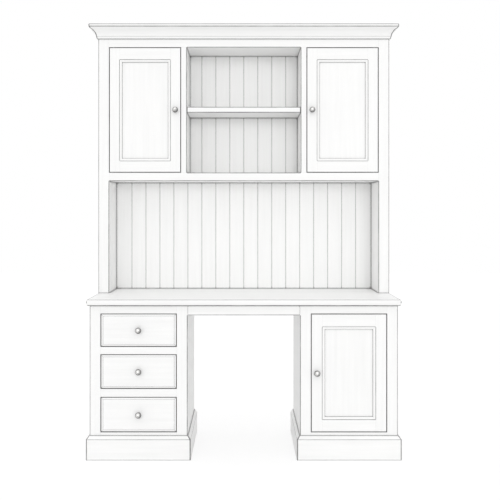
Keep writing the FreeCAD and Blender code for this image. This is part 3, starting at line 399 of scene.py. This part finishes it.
def grain_tree(tree_name, flat, level=False):
    """Gives every board its own tone, and coordinates whose first axis runs along the board.

    The faces of a flat piece are shaded flat, those of any other smoothly up to its sharp edges. On a level
    piece, such as a drawer's box, the grain runs round its four sides.
    """
    tree = bpy.data.node_groups.new(tree_name, "GeometryNodeTree")
    for way in ("INPUT", "OUTPUT"):
        tree.interface.new_socket("Geometry", in_out=way, socket_type="NodeSocketGeometry")
    geometry = tree.nodes.new("NodeGroupInput").outputs["Geometry"]
    island = tree.nodes.new("GeometryNodeInputMeshIsland").outputs["Island Index"]
    area = tree.nodes.new("GeometryNodeInputMeshFaceArea").outputs[0]
    normal = tree.nodes.new("GeometryNodeInputNormal").outputs["Normal"]
    position = tree.nodes.new("GeometryNodeInputPosition").outputs["Position"]
    axes = add_node(tree, "ShaderNodeSeparateXYZ", {"Vector": position}).outputs

    def vector_math(operation, sources, values=None):
        return add_node(tree, "ShaderNodeVectorMath", sources, values,
                        operation=operation).outputs["Vector"]

    def less(first, second):
        return add_node(tree, "FunctionNodeCompare", {0: first, 1: second},
                        data_type="FLOAT", operation="LESS_THAN").outputs["Result"]

    def both(first, second):
        return add_node(tree, "FunctionNodeBooleanMath", {0: first, 1: second}, operation="AND").outputs[0]

    def turned(*order):
        sources = {count: axes[axis] for count, axis in enumerate(order)}
        return add_node(tree, "ShaderNodeCombineXYZ", sources).outputs["Vector"]

    def switch(choice, no, yes):
        return add_node(tree, "GeometryNodeSwitch", {"Switch": choice, "False": no, "True": yes},
                        input_type="VECTOR").outputs["Output"]

    facing = vector_math("ABSOLUTE", {0: normal})
    if not level:
        weighed = vector_math("SCALE", {0: facing, "Scale": area})
        facing = add_node(tree, "GeometryNodeAccumulateField", {"Value": weighed, "Group ID": island},
                          data_type="FLOAT_VECTOR", domain="FACE").outputs["Total"]
    x, y, z = add_node(tree, "ShaderNodeSeparateXYZ", {"Vector": facing}).outputs
    if level:
        along_x = both(less(x, y), less(z, y))
        across = turned(1, 0, 2)
    else:
        along_x = both(less(x, y), less(x, z))
        across = switch(less(y, z), turned(2, 0, 1), turned(1, 0, 2))
    lined_up = switch(along_x, across, turned(0, 1, 2))

    random = add_node(tree, "FunctionNodeRandomValue", {"ID": island}, data_type="FLOAT")
    chance = next(socket for socket in random.outputs if socket.type == "VALUE")
    shift = vector_math("SCALE", {"Scale": chance}, {0: BOARD_SHIFT})
    place = vector_math("ADD", {0: lined_up, 1: shift})
    for name, kind, value in (("grain_place", "FLOAT_VECTOR", place), ("board_tone", "FLOAT", chance)):
        store = add_node(tree, "GeometryNodeStoreNamedAttribute", {"Geometry": geometry, "Value": value},
                         {"Name": name}, data_type=kind, domain="CORNER" if level else "POINT")
        geometry = store.outputs["Geometry"]

    angle = tree.nodes.new("GeometryNodeInputMeshEdgeAngle").outputs["Unsigned Angle"]
    sharp = add_node(tree, "FunctionNodeCompare", {0: angle}, {1: math.radians(SHARP_DEGREES)},
                     data_type="FLOAT", operation="GREATER_THAN")
    shaded = add_node(tree, "GeometryNodeSetMeshNormal",
                      {"Mesh": geometry, "Edge Sharpness": sharp.outputs["Result"]},
                      {"Remove Custom": True, "Face Sharpness": flat}, mode="SHARPNESS")
    add_node(tree, "NodeGroupOutput", {"Geometry": shaded.outputs["Mesh"]})
    return tree


GRAIN = {"flat": grain_tree("flat_board_grain", True), "smooth": grain_tree("board_grain", False),
         "level": grain_tree("box_grain", True, level=True)}


def finish_piece(piece, materials, shading="smooth"):
    """Gives a piece board-wise grain, its shading and its materials."""
    piece.modifiers.new("grain", "NODES").node_group = GRAIN[shading]
    if shading == "smooth":
        piece.modifiers.new("even_normals", "WEIGHTED_NORMAL").keep_sharp = True
    for material in materials:
        piece.data.materials.append(material)


def finish_node(node, materials, arris=None, degrees=EDGE_DEGREES, shading="smooth"):
    """Cleans the faces of a node of the construction, softens its edges by the arris, and finishes it."""
    node.modifiers.new("weld", "WELD").merge_threshold = WELD
    plane = node.modifiers.new("flat", "DECIMATE")
    plane.decimate_type = "DISSOLVE"
    plane.angle_limit = math.radians(PLANE_DEGREES)
    if arris:
        soft = node.modifiers.new("soft_edges", "BEVEL")
        soft.width = arris
        soft.segments = BEVEL_STEPS
        soft.limit_method = "ANGLE"
        soft.angle_limit = math.radians(degrees)
        soft.use_clamp_overlap = False
        soft.harden_normals = False
        if len(materials) > 1:
            soft.material = EDGE_SLOT
    node.data.materials.clear()
    finish_piece(node, materials, shading)


def mesh_object(name, geometry, body, node):
    """Turns a bmesh into a piece that rides on a body and stands for a node of the construction."""
    mesh = bpy.data.meshes.new(name)
    geometry.to_mesh(mesh)
    geometry.free()
    piece = bpy.data.objects.new(name, mesh)
    bpy.context.scene.collection.objects.link(piece)
    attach(piece, body)
    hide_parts(node)
    return piece


# Boards


def shifted(box, **moves):
    """A box with some of its limits replaced, such as x=(low, high)."""
    low, high = Vector(box[0]), Vector(box[1])
    for axis, (start, end) in moves.items():
        setattr(low, axis, start)
        setattr(high, axis, end)
    return low, high


def within(spot, boxes):
    return any(all(low[i] < spot[i] < high[i] for i in range(3)) for low, high in boxes)


def add_board(geometry, low, high, others, gaps=(), radius=ARRIS, upper=None, steps=ARRIS_STEPS,
              finish=None):
    """A board with softened edges, as rings of points along its longest axis.

    Where an edge meets one of the others flush, only a hairline is left, and where it faces one of the
    gaps' boxes across a narrow gap it is softened less. The front and back edge of the upper face can have
    a radius of their own. finish gives the material slot of a face from its normal; by default every wide
    softened edge takes the edge paint, darkened for wear and as painted shade.
    """
    axis = max(range(3), key=lambda i: high[i] - low[i])
    u, v = [i for i in range(3) if i != axis]
    limits = (low, high)
    corners = ((0, 0), (1, 0), (1, 1), (0, 1))

    def spot_at(along, across, up):
        spot = Vector()
        spot[axis], spot[u], spot[v] = along, across, up
        return spot

    def outward(direction, side):
        step = Vector()
        step[direction] = TOUCH if side else -TOUCH
        return step

    def edge_radius(spot, first, second):
        for one, other in ((first, second), (second, first)):
            if within(spot + one - other, others):
                return HAIRLINE
            if within(spot + one * (1 + REVEAL / TOUCH) - other, gaps):
                return GAP_ARRIS
        is_upper = max(first.z, second.z) > 0 and not (first.x or second.x)
        return upper if upper and is_upper else radius

    # The radius along each of the four long edges, which changes where a neighbour starts or ends
    stops = {low[axis], high[axis]}
    stops |= {corner[axis] for box in others for corner in box if low[axis] < corner[axis] < high[axis]}
    stops = sorted(stops)
    keys = {}
    for corner in corners:
        keys[corner] = []
        for start, end in zip(stops, stops[1:]):
            spot = spot_at((start + end) / 2, limits[corner[0]][u], limits[corner[1]][v])
            here = edge_radius(spot, outward(u, corner[0]), outward(v, corner[1]))
            margin = min(TAPER, end - start) / 2
            keys[corner] += [(start if start == low[axis] else start + margin, here),
                             (end if end == high[axis] else end - margin, here)]

    def radius_at(corner, along):
        place, size = keys[corner][0]
        for next_place, next_size in keys[corner]:
            if along <= next_place:
                width = next_place - place
                if width <= 0:
                    return next_size
                return size + (next_size - size) * (along - place) / width
            place, size = next_place, next_size
        return size

    # The radius of the four edges round each end
    middle = [(low[i] + high[i]) / 2 for i in range(3)]
    end_radius = {}
    for end in (0, 1):
        for direction in (u, v):
            for side in (0, 1):
                spot = Vector(middle)
                spot[axis] = limits[end][axis]
                spot[direction] = limits[side][direction]
                end_radius[end, direction, side] = edge_radius(spot, outward(axis, end),
                                                               outward(direction, side))

    def inset(direction, side, along):
        most = 0.0
        for end in (0, 1):
            size = end_radius[end, direction, side]
            depth = abs(along - limits[end][axis])
            if depth < size:
                most = max(most, size - math.sqrt(max(size ** 2 - (size - depth) ** 2, 0)))
        return most

    stations = {place for row in keys.values() for place, _ in row}
    for (end, *_), size in end_radius.items():
        for step in range(steps + 1):
            depth = size * (1 - math.sin(math.pi / 2 * step / steps))
            stations.add(limits[end][axis] + (depth if end == 0 else -depth))
    ordered = []
    for station in sorted(stations):
        if not ordered or station - ordered[-1] > CLOSEST_RINGS:
            ordered.append(station)

    rings = []
    for along in ordered:
        ring = []
        edges = {(direction, side): limits[side][direction]
                 + (inset(direction, side, along) if side == 0 else -inset(direction, side, along))
                 for direction in (u, v) for side in (0, 1)}
        for turn, corner in enumerate(corners):
            size = radius_at(corner, along)
            across = edges[u, corner[0]] + (size if corner[0] == 0 else -size)
            up = edges[v, corner[1]] + (size if corner[1] == 0 else -size)
            for step in range(steps + 1):
                angle = math.pi + math.pi / 2 * (turn + step / steps)
                spot = spot_at(along, across + size * math.cos(angle), up + size * math.sin(angle))
                ring.append(geometry.verts.new(spot))
        rings.append(ring)

    faces = []
    around = len(rings[0])
    flat_sides = ((v, 0), (u, 1), (v, 1), (u, 0))
    for (start, first), (end, second) in zip(zip(ordered, rings), zip(ordered[1:], rings[1:])):
        halfway = (start + end) / 2
        for count in range(around):
            follow = (count + 1) % around
            face = geometry.faces.new((first[count], first[follow], second[follow], second[count]))
            turn, step = divmod(count, steps + 1)
            if step < steps:
                soft = radius_at(corners[turn], halfway) > LEAST_DARKENED
            else:
                sizes = [end_radius[limit, *flat_sides[turn]] for limit in (0, 1)]
                soft = any(size > LEAST_DARKENED and abs(halfway - limits[limit][axis]) < size
                           for limit, size in enumerate(sizes))
            # Wide softened faces take the edge paint, darkened for wear and as painted shade
            if soft:
                face.material_index = EDGE_SLOT
            faces.append(face)
    faces.append(geometry.faces.new(rings[0]))
    faces.append(geometry.faces.new(rings[-1]))
    bmesh.ops.recalc_face_normals(geometry, faces=faces)
    if finish:
        for face in faces:
            face.normal_update()
            face.material_index = finish(face.normal)


def boards_piece(name, node, boards, neighbours, body, materials=(paint_face, paint_edge), **softening):
    """A painted piece made of boards; softening goes to add_board."""
    geometry = bmesh.new()
    for count, (low, high) in enumerate(boards):
        others = boards[:count] + boards[count + 1:] + neighbours
        add_board(geometry, low, high, others, **softening)
    finish_piece(mesh_object(name, geometry, body, node), materials)


# Mouldings


def arc(first, last, radius, side, steps):
    """Points between two ends of an arc that leaves its chord to the left (1) or the right (-1)."""
    start, end = Vector(first), Vector(last)
    chord = end - start
    left = Vector((-chord.y, chord.x)).normalized()
    rise = math.sqrt(radius ** 2 - (chord.length / 2) ** 2)
    centre = (start + end) / 2 - left * side * rise
    begin = start - centre
    sweep = begin.angle_signed(end - centre)
    return [centre + Matrix.Rotation(-sweep * step / steps, 2) @ begin for step in range(1, steps)]


def curved(section, radius, side, steps):
    """A moulding's section with an arc between its third and its fourth point."""
    curve = arc(section[2][:2], section[3][:2], radius, side, steps)
    return [*section[:3], *((spot.x, spot.y, 0) for spot in curve), *section[3:]]


def softened(section, steps=ARRIS_STEPS):
    """A section's outline with some corners eased; an ease of 0 keeps a corner sharp.

    Gives back (reach, rise, soft), where soft marks the stretch that follows the point.
    """
    outline = []
    for count, (reach, rise, ease) in enumerate(section):
        corner = Vector((reach, rise))
        if not ease:
            outline.append((reach, rise, False))
            continue
        before = Vector(section[count - 1][:2]) - corner
        after = Vector(section[(count + 1) % len(section)][:2]) - corner
        first = corner + before.normalized() * ease
        last = corner + after.normalized() * ease
        for step in range(steps + 1):
            share = step / steps
            spot = first * (1 - share) ** 2 + corner * 2 * share * (1 - share) + last * share ** 2
            outline.append((spot.x, spot.y, step < steps))
    return outline


def add_moulding(geometry, outline, start, end, outward, up, turns):
    """One length of moulding; turns says how its two ends meet the next length."""
    along = (end - start).normalized()
    rings = []
    for place, forward, turn in ((start, -along, turns[0]), (end, along, turns[1])):
        row = []
        corner_steps = CORNER_STEPS if turn == "outside" else 0
        for step in range(corner_steps + 1):
            angle = math.pi / 4 * step / CORNER_STEPS
            ring = []
            for reach, rise, _ in outline:
                if turn == "outside":
                    size = min(CORNER_EASE, reach)
                    shift = (outward + forward) * (reach - size)
                    shift += (outward * math.cos(angle) + forward * math.sin(angle)) * size
                elif turn == "inside":
                    shift = (outward - forward) * reach
                else:
                    shift = outward * reach
                ring.append(geometry.verts.new(place + shift + up * rise))
            row.append(ring)
        rings.append(row)
    rows = rings[0][::-1] + rings[1]
    rounded = [len(rings[0]) - 1, len(rings[1]) - 1]
    faces = []
    for count, (first, second) in enumerate(zip(rows, rows[1:])):
        at_corner = count < rounded[0] or count >= len(rows) - 1 - rounded[1]
        for index in range(len(outline)):
            follow = (index + 1) % len(outline)
            face = geometry.faces.new((first[index], first[follow], second[follow], second[index]))
            # Eased stretches and outside corners take the edge paint, darkened for wear and as painted
            # shade
            face.material_index = EDGE_SLOT if at_corner or outline[index][2] else PAINT_SLOT
            faces.append(face)
    faces += [geometry.faces.new(rows[0]), geometry.faces.new(rows[-1])]
    bmesh.ops.recalc_face_normals(geometry, faces=faces)
    points = [vertex for row in rows for vertex in row]
    bmesh.ops.remove_doubles(geometry, verts=points, dist=SAME_SPOT)


def moulded_piece(name, node, body, outline, lengths, up):
    """A painted piece made of lengths of one moulding: (start, end, outward, turns) each."""
    geometry = bmesh.new()
    for start, end, outward, turns in lengths:
        add_moulding(geometry, outline, Vector(start), Vector(end), Vector(outward), Vector(up), turns)
    finish_piece(mesh_object(name, geometry, body, node), [paint_face, paint_edge])


def three_sides(box, reach):
    """The lengths of a moulding that has this box and this reach, along the left, front and right."""
    low, high = box
    left, right, front, back = low.x + reach, high.x - reach, low.y + reach, high.y
    return [((left, back, low.z), (left, front, low.z), (-1, 0, 0), ("square", "outside")),
            ((left, front, low.z), (right, front, low.z), (0, -1, 0), ("outside", "outside")),
            ((right, front, low.z), (right, back, low.z), (1, 0, 0), ("outside", "square"))]


# Turned pieces


def add_turned(geometry, middle, profile, sides):
    """Spins a profile of (radius, distance in front of the face) about an axis that points to the front."""
    rings = []
    for radius, ahead in profile:
        angles = [math.tau * count / sides for count in range(sides)] if radius else [0]
        rings.append([geometry.verts.new(middle + Vector((radius * math.cos(angle), -ahead,
                                                          radius * math.sin(angle))))
                      for angle in angles])
    faces = []
    for first, second in zip(rings, rings[1:]):
        for count in range(sides):
            follow = (count + 1) % sides
            corners = [first[count % len(first)], first[follow % len(first)],
                       second[follow % len(second)], second[count % len(second)]]
            faces.append(geometry.faces.new(list(dict.fromkeys(corners))))
    bmesh.ops.recalc_face_normals(geometry, faces=faces)


def knob(name, node, body):
    """A ball knob with a moulded rose, and the head of its screw behind the board."""
    low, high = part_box(node)
    face = low.y + KNOB_LENGTH
    middle = Vector(((low.x + high.x) / 2, face, (low.z + high.z) / 2))
    neck_angle = math.asin(KNOB_NECK / KNOB_RADIUS)
    profile = list(ROSE_PROFILE)
    for step in range(BALL_STEPS + 1):
        angle = neck_angle + (math.pi - neck_angle) * step / BALL_STEPS
        radius = KNOB_RADIUS * math.sin(angle) if step < BALL_STEPS else 0
        profile.append((radius, KNOB_LENGTH - KNOB_RADIUS - KNOB_RADIUS * math.cos(angle)))
    geometry = bmesh.new()
    add_turned(geometry, middle, profile, KNOB_SIDES)
    board_back = high.y - face - KNOB_SCREW_HEAD_HEIGHT
    head = [(radius, -board_back - rise) for radius, rise in SCREW_PROFILE]
    add_turned(geometry, middle, head, SCREW_SIDES)
    finish_piece(mesh_object(name, geometry, body, node), [nickel])


# The object


def front_frames():
    """The face frames of the pedestals and the hutch."""
    top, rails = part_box("desk_top"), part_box("kneehole_rails")
    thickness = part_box("left_face_frame")[1].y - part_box("left_face_frame")[0].y
    beside = [top]
    for side in ("left", "right"):
        beside += [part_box(f"{side}_face_frame"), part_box(f"{side}_inner_side")]
    boards_piece("kneehole_front_and_rear_rail", "kneehole_rails",
                 [shifted(rails, y=(rails[0].y, rails[0].y + thickness)),
                  shifted(rails, y=(rails[1].y - thickness, rails[1].y))], beside, "carcass")

    for side, filling in (("left", ("upper_drawer_front", "middle_drawer_front", "lower_drawer_front")),
                          ("right", ("cupboard_door_frame",))):
        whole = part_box(f"{side}_face_frame")
        fillings = [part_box(name) for name in filling]
        open_low, open_high = fillings[0][0].x - REVEAL, fillings[0][1].x + REVEAL
        edges = [whole[1].z]
        for low, high in fillings:
            edges += [high.z + REVEAL, low.z - REVEAL]
        edges.append(edges[-1] - BOTTOM_RAIL)
        boards = [shifted(whole, x=(whole[0].x, open_low)), shifted(whole, x=(open_high, whole[1].x))]
        boards += [shifted(whole, x=(open_low, open_high), z=(low, high))
                   for high, low in zip(edges[::2], edges[1::2])]
        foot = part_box(f"{side}_plinth")
        neighbours = [top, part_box(f"{side}_inner_side"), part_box(f"{side}_outer_side"),
                      shifted(rails, y=(whole[0].y, whole[1].y)),
                      shifted(foot, y=(foot[0].y, foot[0].y + PLINTH)),
                      shifted(foot, x=(foot[0].x, foot[0].x + PLINTH)),
                      shifted(foot, x=(foot[1].x - PLINTH, foot[1].x))]
        boards_piece(f"{side}_front_frame", f"{side}_face_frame", boards, neighbours, "carcass",
                     gaps=fillings)

    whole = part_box("hutch_face_frame")
    left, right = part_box("hutch_left_door_frame"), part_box("hutch_right_door_frame")
    low_z, high_z = left[0].z - REVEAL, left[1].z + REVEAL
    left_in, right_in = left[0].x - REVEAL, right[1].x + REVEAL
    mullions = (left[1].x + REVEAL, right[0].x - REVEAL - MULLION)
    boards = [shifted(whole, x=(whole[0].x, left_in)), shifted(whole, x=(right_in, whole[1].x)),
              shifted(whole, x=(left_in, right_in), z=(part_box("hutch_soffit")[0].z, low_z)),
              shifted(whole, x=(left_in, right_in), z=(high_z, whole[1].z))]
    boards += [shifted(whole, x=(start, start + MULLION), z=(low_z, high_z)) for start in mullions]
    neighbours = [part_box(name) for name in ("desk_top", "hutch_left_side", "hutch_right_side",
                                            "hutch_soffit", "hutch_floor", "hutch_top_board")]
    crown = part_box("cornice")
    neighbours.append(shifted(crown, y=(crown[0].y, whole[0].y)))
    boards_piece("hutch_front_frame", "hutch_face_frame", boards, neighbours, "carcass",
                 gaps=[left, right], upper=TOP_ARRIS)


def plinths_and_cornice():
    """The mouldings round the foot of each pedestal and the top of the hutch."""
    for side in ("left", "right"):
        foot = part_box(f"{side}_plinth")
        moulded_piece(f"{side}_plinth_boards", f"{side}_plinth", "carcass", softened(PLINTH_SECTION),
                      three_sides(foot, PLINTH), (0, 0, 1))
    outline = softened(curved(CORNICE_SECTION, COVE_RADIUS, 1, COVE_STEPS))
    moulded_piece("cornice_moulding", "cornice", "carcass", outline,
                  three_sides(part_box("cornice"), CORNICE_REACH), (0, 0, 1))


def top_finish(normal):
    """The desk top's paint: a brighter white above, as painted light, and the edge paint, darkened for wear
    and as painted shade, on rounded edges above, below and at the corners.
    """
    slope = math.degrees(math.acos(max(-1, min(normal.z, 1))))
    sideways = abs(normal.x)
    if slope < LEVEL_SLOPE:
        return BRIGHTENED_SLOT
    upper_start = END_DARK_START if sideways > END_SIDEWAYS else FRONT_DARK_START
    upper = upper_start < slope < UPPER_DARK_END
    under = UNDER_DARK[0] < slope < UNDER_DARK[1]
    corner = UPRIGHT[0] < slope < UPRIGHT[1] and CORNER_SIDEWAYS[0] < sideways < CORNER_SIDEWAYS[1]
    return EDGE_SLOT if upper or under or corner else PAINT_SLOT


def desk_top_and_back():
    """The desk top, and the boards at the back of the hutch, which take a brighter white as painted light
    and have a vee at each joint without the edge paint.
    """
    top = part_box("desk_top")
    wall = shifted(top, y=(top[1].y, top[1].y + BLOCK), x=(top[0].x - BLOCK, top[1].x + BLOCK),
                   z=(-BLOCK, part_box("cornice")[1].z + BLOCK))
    boards_piece("desk_top_board", "desk_top", [top], [], "carcass", [paint_face, paint_edge, paint_brightened],
                 gaps=[wall], radius=TOP_ROUNDING, upper=TOP_ARRIS, steps=TOP_STEPS, finish=top_finish)

    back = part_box("hutch_back_boards")
    first, last = back[0].x + END_BOARD, back[1].x - END_BOARD
    joints = [first + (last - first) * count / INNER_BOARDS for count in range(INNER_BOARDS + 1)]
    joints = [back[0].x, *joints, back[1].x]
    geometry = bmesh.new()
    for board in zip(joints, joints[1:]):
        add_board(geometry, *shifted(back, x=board), [top], gaps=[wall], radius=VEE, steps=VEE_STEPS)
    piece = mesh_object("hutch_tongue_and_groove", geometry, "carcass", "hutch_back_boards")
    # The back boards take the brighter white as painted light, on faces and vees alike
    finish_piece(piece, [paint_brightened, paint_brightened])


def door_looks(door):
    """Frame, bead and knob of a door."""
    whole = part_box(f"{door}_frame")
    low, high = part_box(f"{door}_beads")
    whole[1].y -= STRIKE_PROUD
    boards = [shifted(whole, x=(whole[0].x, low.x)), shifted(whole, x=(high.x, whole[1].x)),
              shifted(whole, x=(low.x, high.x), z=(high.z, whole[1].z)),
              shifted(whole, x=(low.x, high.x), z=(whole[0].z, low.z))]
    outside = [shifted(whole, x=(whole[0].x - BLOCK, whole[0].x - REVEAL)),
               shifted(whole, x=(whole[1].x + REVEAL, whole[1].x + BLOCK)),
               shifted(whole, z=(whole[0].z - BLOCK, whole[0].z - REVEAL)),
               shifted(whole, z=(whole[1].z + REVEAL, whole[1].z + BLOCK))]
    boards_piece(f"{door}_stiles_and_rails", f"{door}_frame", boards, [], door,
                 gaps=outside, radius=DOOR_ARRIS)

    corners = [(low.x, high.y, high.z), (high.x, high.y, high.z), (high.x, high.y, low.z),
               (low.x, high.y, low.z)]
    inwards = [(0, 0, -1), (-1, 0, 0), (0, 0, 1), (1, 0, 0)]
    lengths = [(start, end, inward, ("inside", "inside"))
               for start, end, inward in zip(corners, corners[1:] + corners[:1], inwards)]
    outline = softened(curved(BEAD_SECTION, BEAD_RADIUS, -1, BEAD_STEPS), BEAD_EASE_STEPS)
    moulded_piece(f"{door}_bead_moulding", f"{door}_beads", door, outline, lengths, (0, -1, 0))
    knob(f"{door}_ball_knob", f"{door}_knob", door)


def kept_nodes():
    """The nodes that no piece stands for, each with the finish of its material slot."""
    for part in frame["record"]["subparts"]:
        name, slot = part["node"], part["material_slot"]
        node = frame["nodes"][name]
        if node.hide_render:
            continue
        if slot == "bare_wood":
            finish_node(node, [bare_wood], shading="level" if name.endswith("_box") else "flat")
        elif slot in FITTINGS:
            finish_node(node, [FITTINGS[slot]])
        elif name in SQUARE_EDGED:
            finish_node(node, [paint_panel], shading="flat")
        elif name in PAINTED_EDGES:
            finish_node(node, [paint_face, paint_edge], PAINTED_EDGES[name], SHALLOW_DEGREES, "flat")
        else:
            # Nodes inside the bays take the brighter white as painted light
            body = paint_brightened if name in SHELTERED else paint_face
            finish_node(node, [body], PLAIN_ARRIS, shading="flat")


# Floor, light and camera


def seen_ray(tree):
    """1 for rays that show the background: straight from the camera, mirrored or through glass."""
    path = tree.nodes.new("ShaderNodeLightPath")
    seen = path.outputs["Is Camera Ray"]
    for other in ("Is Glossy Ray", "Is Transmission Ray"):
        either = add_node(tree, "ShaderNodeMath", {0: seen, 1: path.outputs[other]}, operation="MAXIMUM")
        seen = either.outputs[0]
    return seen


def studio_world():
    """Even white light, and a white background where it is seen."""
    world = bpy.data.worlds.new("studio")
    bpy.context.scene.world = world
    world.use_nodes = True
    tree = world.node_tree
    background = tree.nodes["Background"]
    background.inputs["Color"].default_value = (1, 1, 1, 1)
    strength = add_node(tree, "ShaderNodeMix", {0: seen_ray(tree)}, {2: WORLD_LIGHT, 3: 1.0})
    tree.links.new(strength.outputs[0], background.inputs["Strength"])


def floor_material():
    """A white floor: plain where it lights the object, near white with a soft shadow where it is seen."""
    material, tree, shader = new_material("pale_floor")
    tree.nodes.remove(shader)
    plain = add_node(tree, "ShaderNodeBsdfDiffuse", values={"Color": FLOOR_WHITE})
    shadow = add_node(tree, "ShaderNodeBsdfDiffuse", values={"Color": FLOOR_SHADOW})
    glow = add_node(tree, "ShaderNodeEmission", values={"Color": (1, 1, 1, 1), "Strength": FLOOR_GLOW})
    shown = add_node(tree, "ShaderNodeAddShader", {0: shadow.outputs[0], 1: glow.outputs[0]})
    choice = add_node(tree, "ShaderNodeMixShader",
                      {0: seen_ray(tree), 1: plain.outputs[0], 2: shown.outputs[0]})
    tree.links.new(choice.outputs[0], tree.nodes["Material Output"].inputs["Surface"])
    return material


def studio_floor():
    geometry = bmesh.new()
    bmesh.ops.create_grid(geometry, x_segments=1, y_segments=1, size=FLOOR_REACH)
    mesh = bpy.data.meshes.new("floor")
    geometry.to_mesh(mesh)
    geometry.free()
    mesh.materials.append(floor_material())
    floor = bpy.data.objects.new("floor", mesh)
    floor.location.z = FLOOR_LEVEL
    bpy.context.scene.collection.objects.link(floor)


def studio_lamps():
    """Far soft lights, which light every height alike."""
    for name, (place, spread, strength) in LAMPS.items():
        light = bpy.data.lights.new(name, "SUN")
        light.angle = math.radians(spread)
        light.energy = strength
        lamp = bpy.data.objects.new(name, light)
        lamp.location = place
        lamp.rotation_euler = Vector(place).to_track_quat("Z", "Y").to_euler()
        bpy.context.scene.collection.objects.link(lamp)


def studio_camera():
    lens = bpy.data.cameras.new("camera")
    lens.sensor_width = SENSOR_MM
    lens.lens = LENS_MM
    lens.shift_x, lens.shift_y = CAMERA_SHIFT
    camera = bpy.data.objects.new("camera", lens)
    camera.location = CAMERA_PLACE
    camera.rotation_euler = (math.radians(90), 0, 0)
    bpy.context.scene.collection.objects.link(camera)
    bpy.context.scene.camera = camera


front_frames()
plinths_and_cornice()
desk_top_and_back()
for door in ("hutch_left_door", "hutch_right_door", "cupboard_door"):
    door_looks(door)
for drawer in ("upper_drawer", "middle_drawer", "lower_drawer"):
    knob(f"{drawer}_ball_knob", f"{drawer}_knob", drawer)
kept_nodes()

bpy.context.scene.view_settings.view_transform = "Standard"
studio_world()
studio_floor()
studio_lamps()
studio_camera()
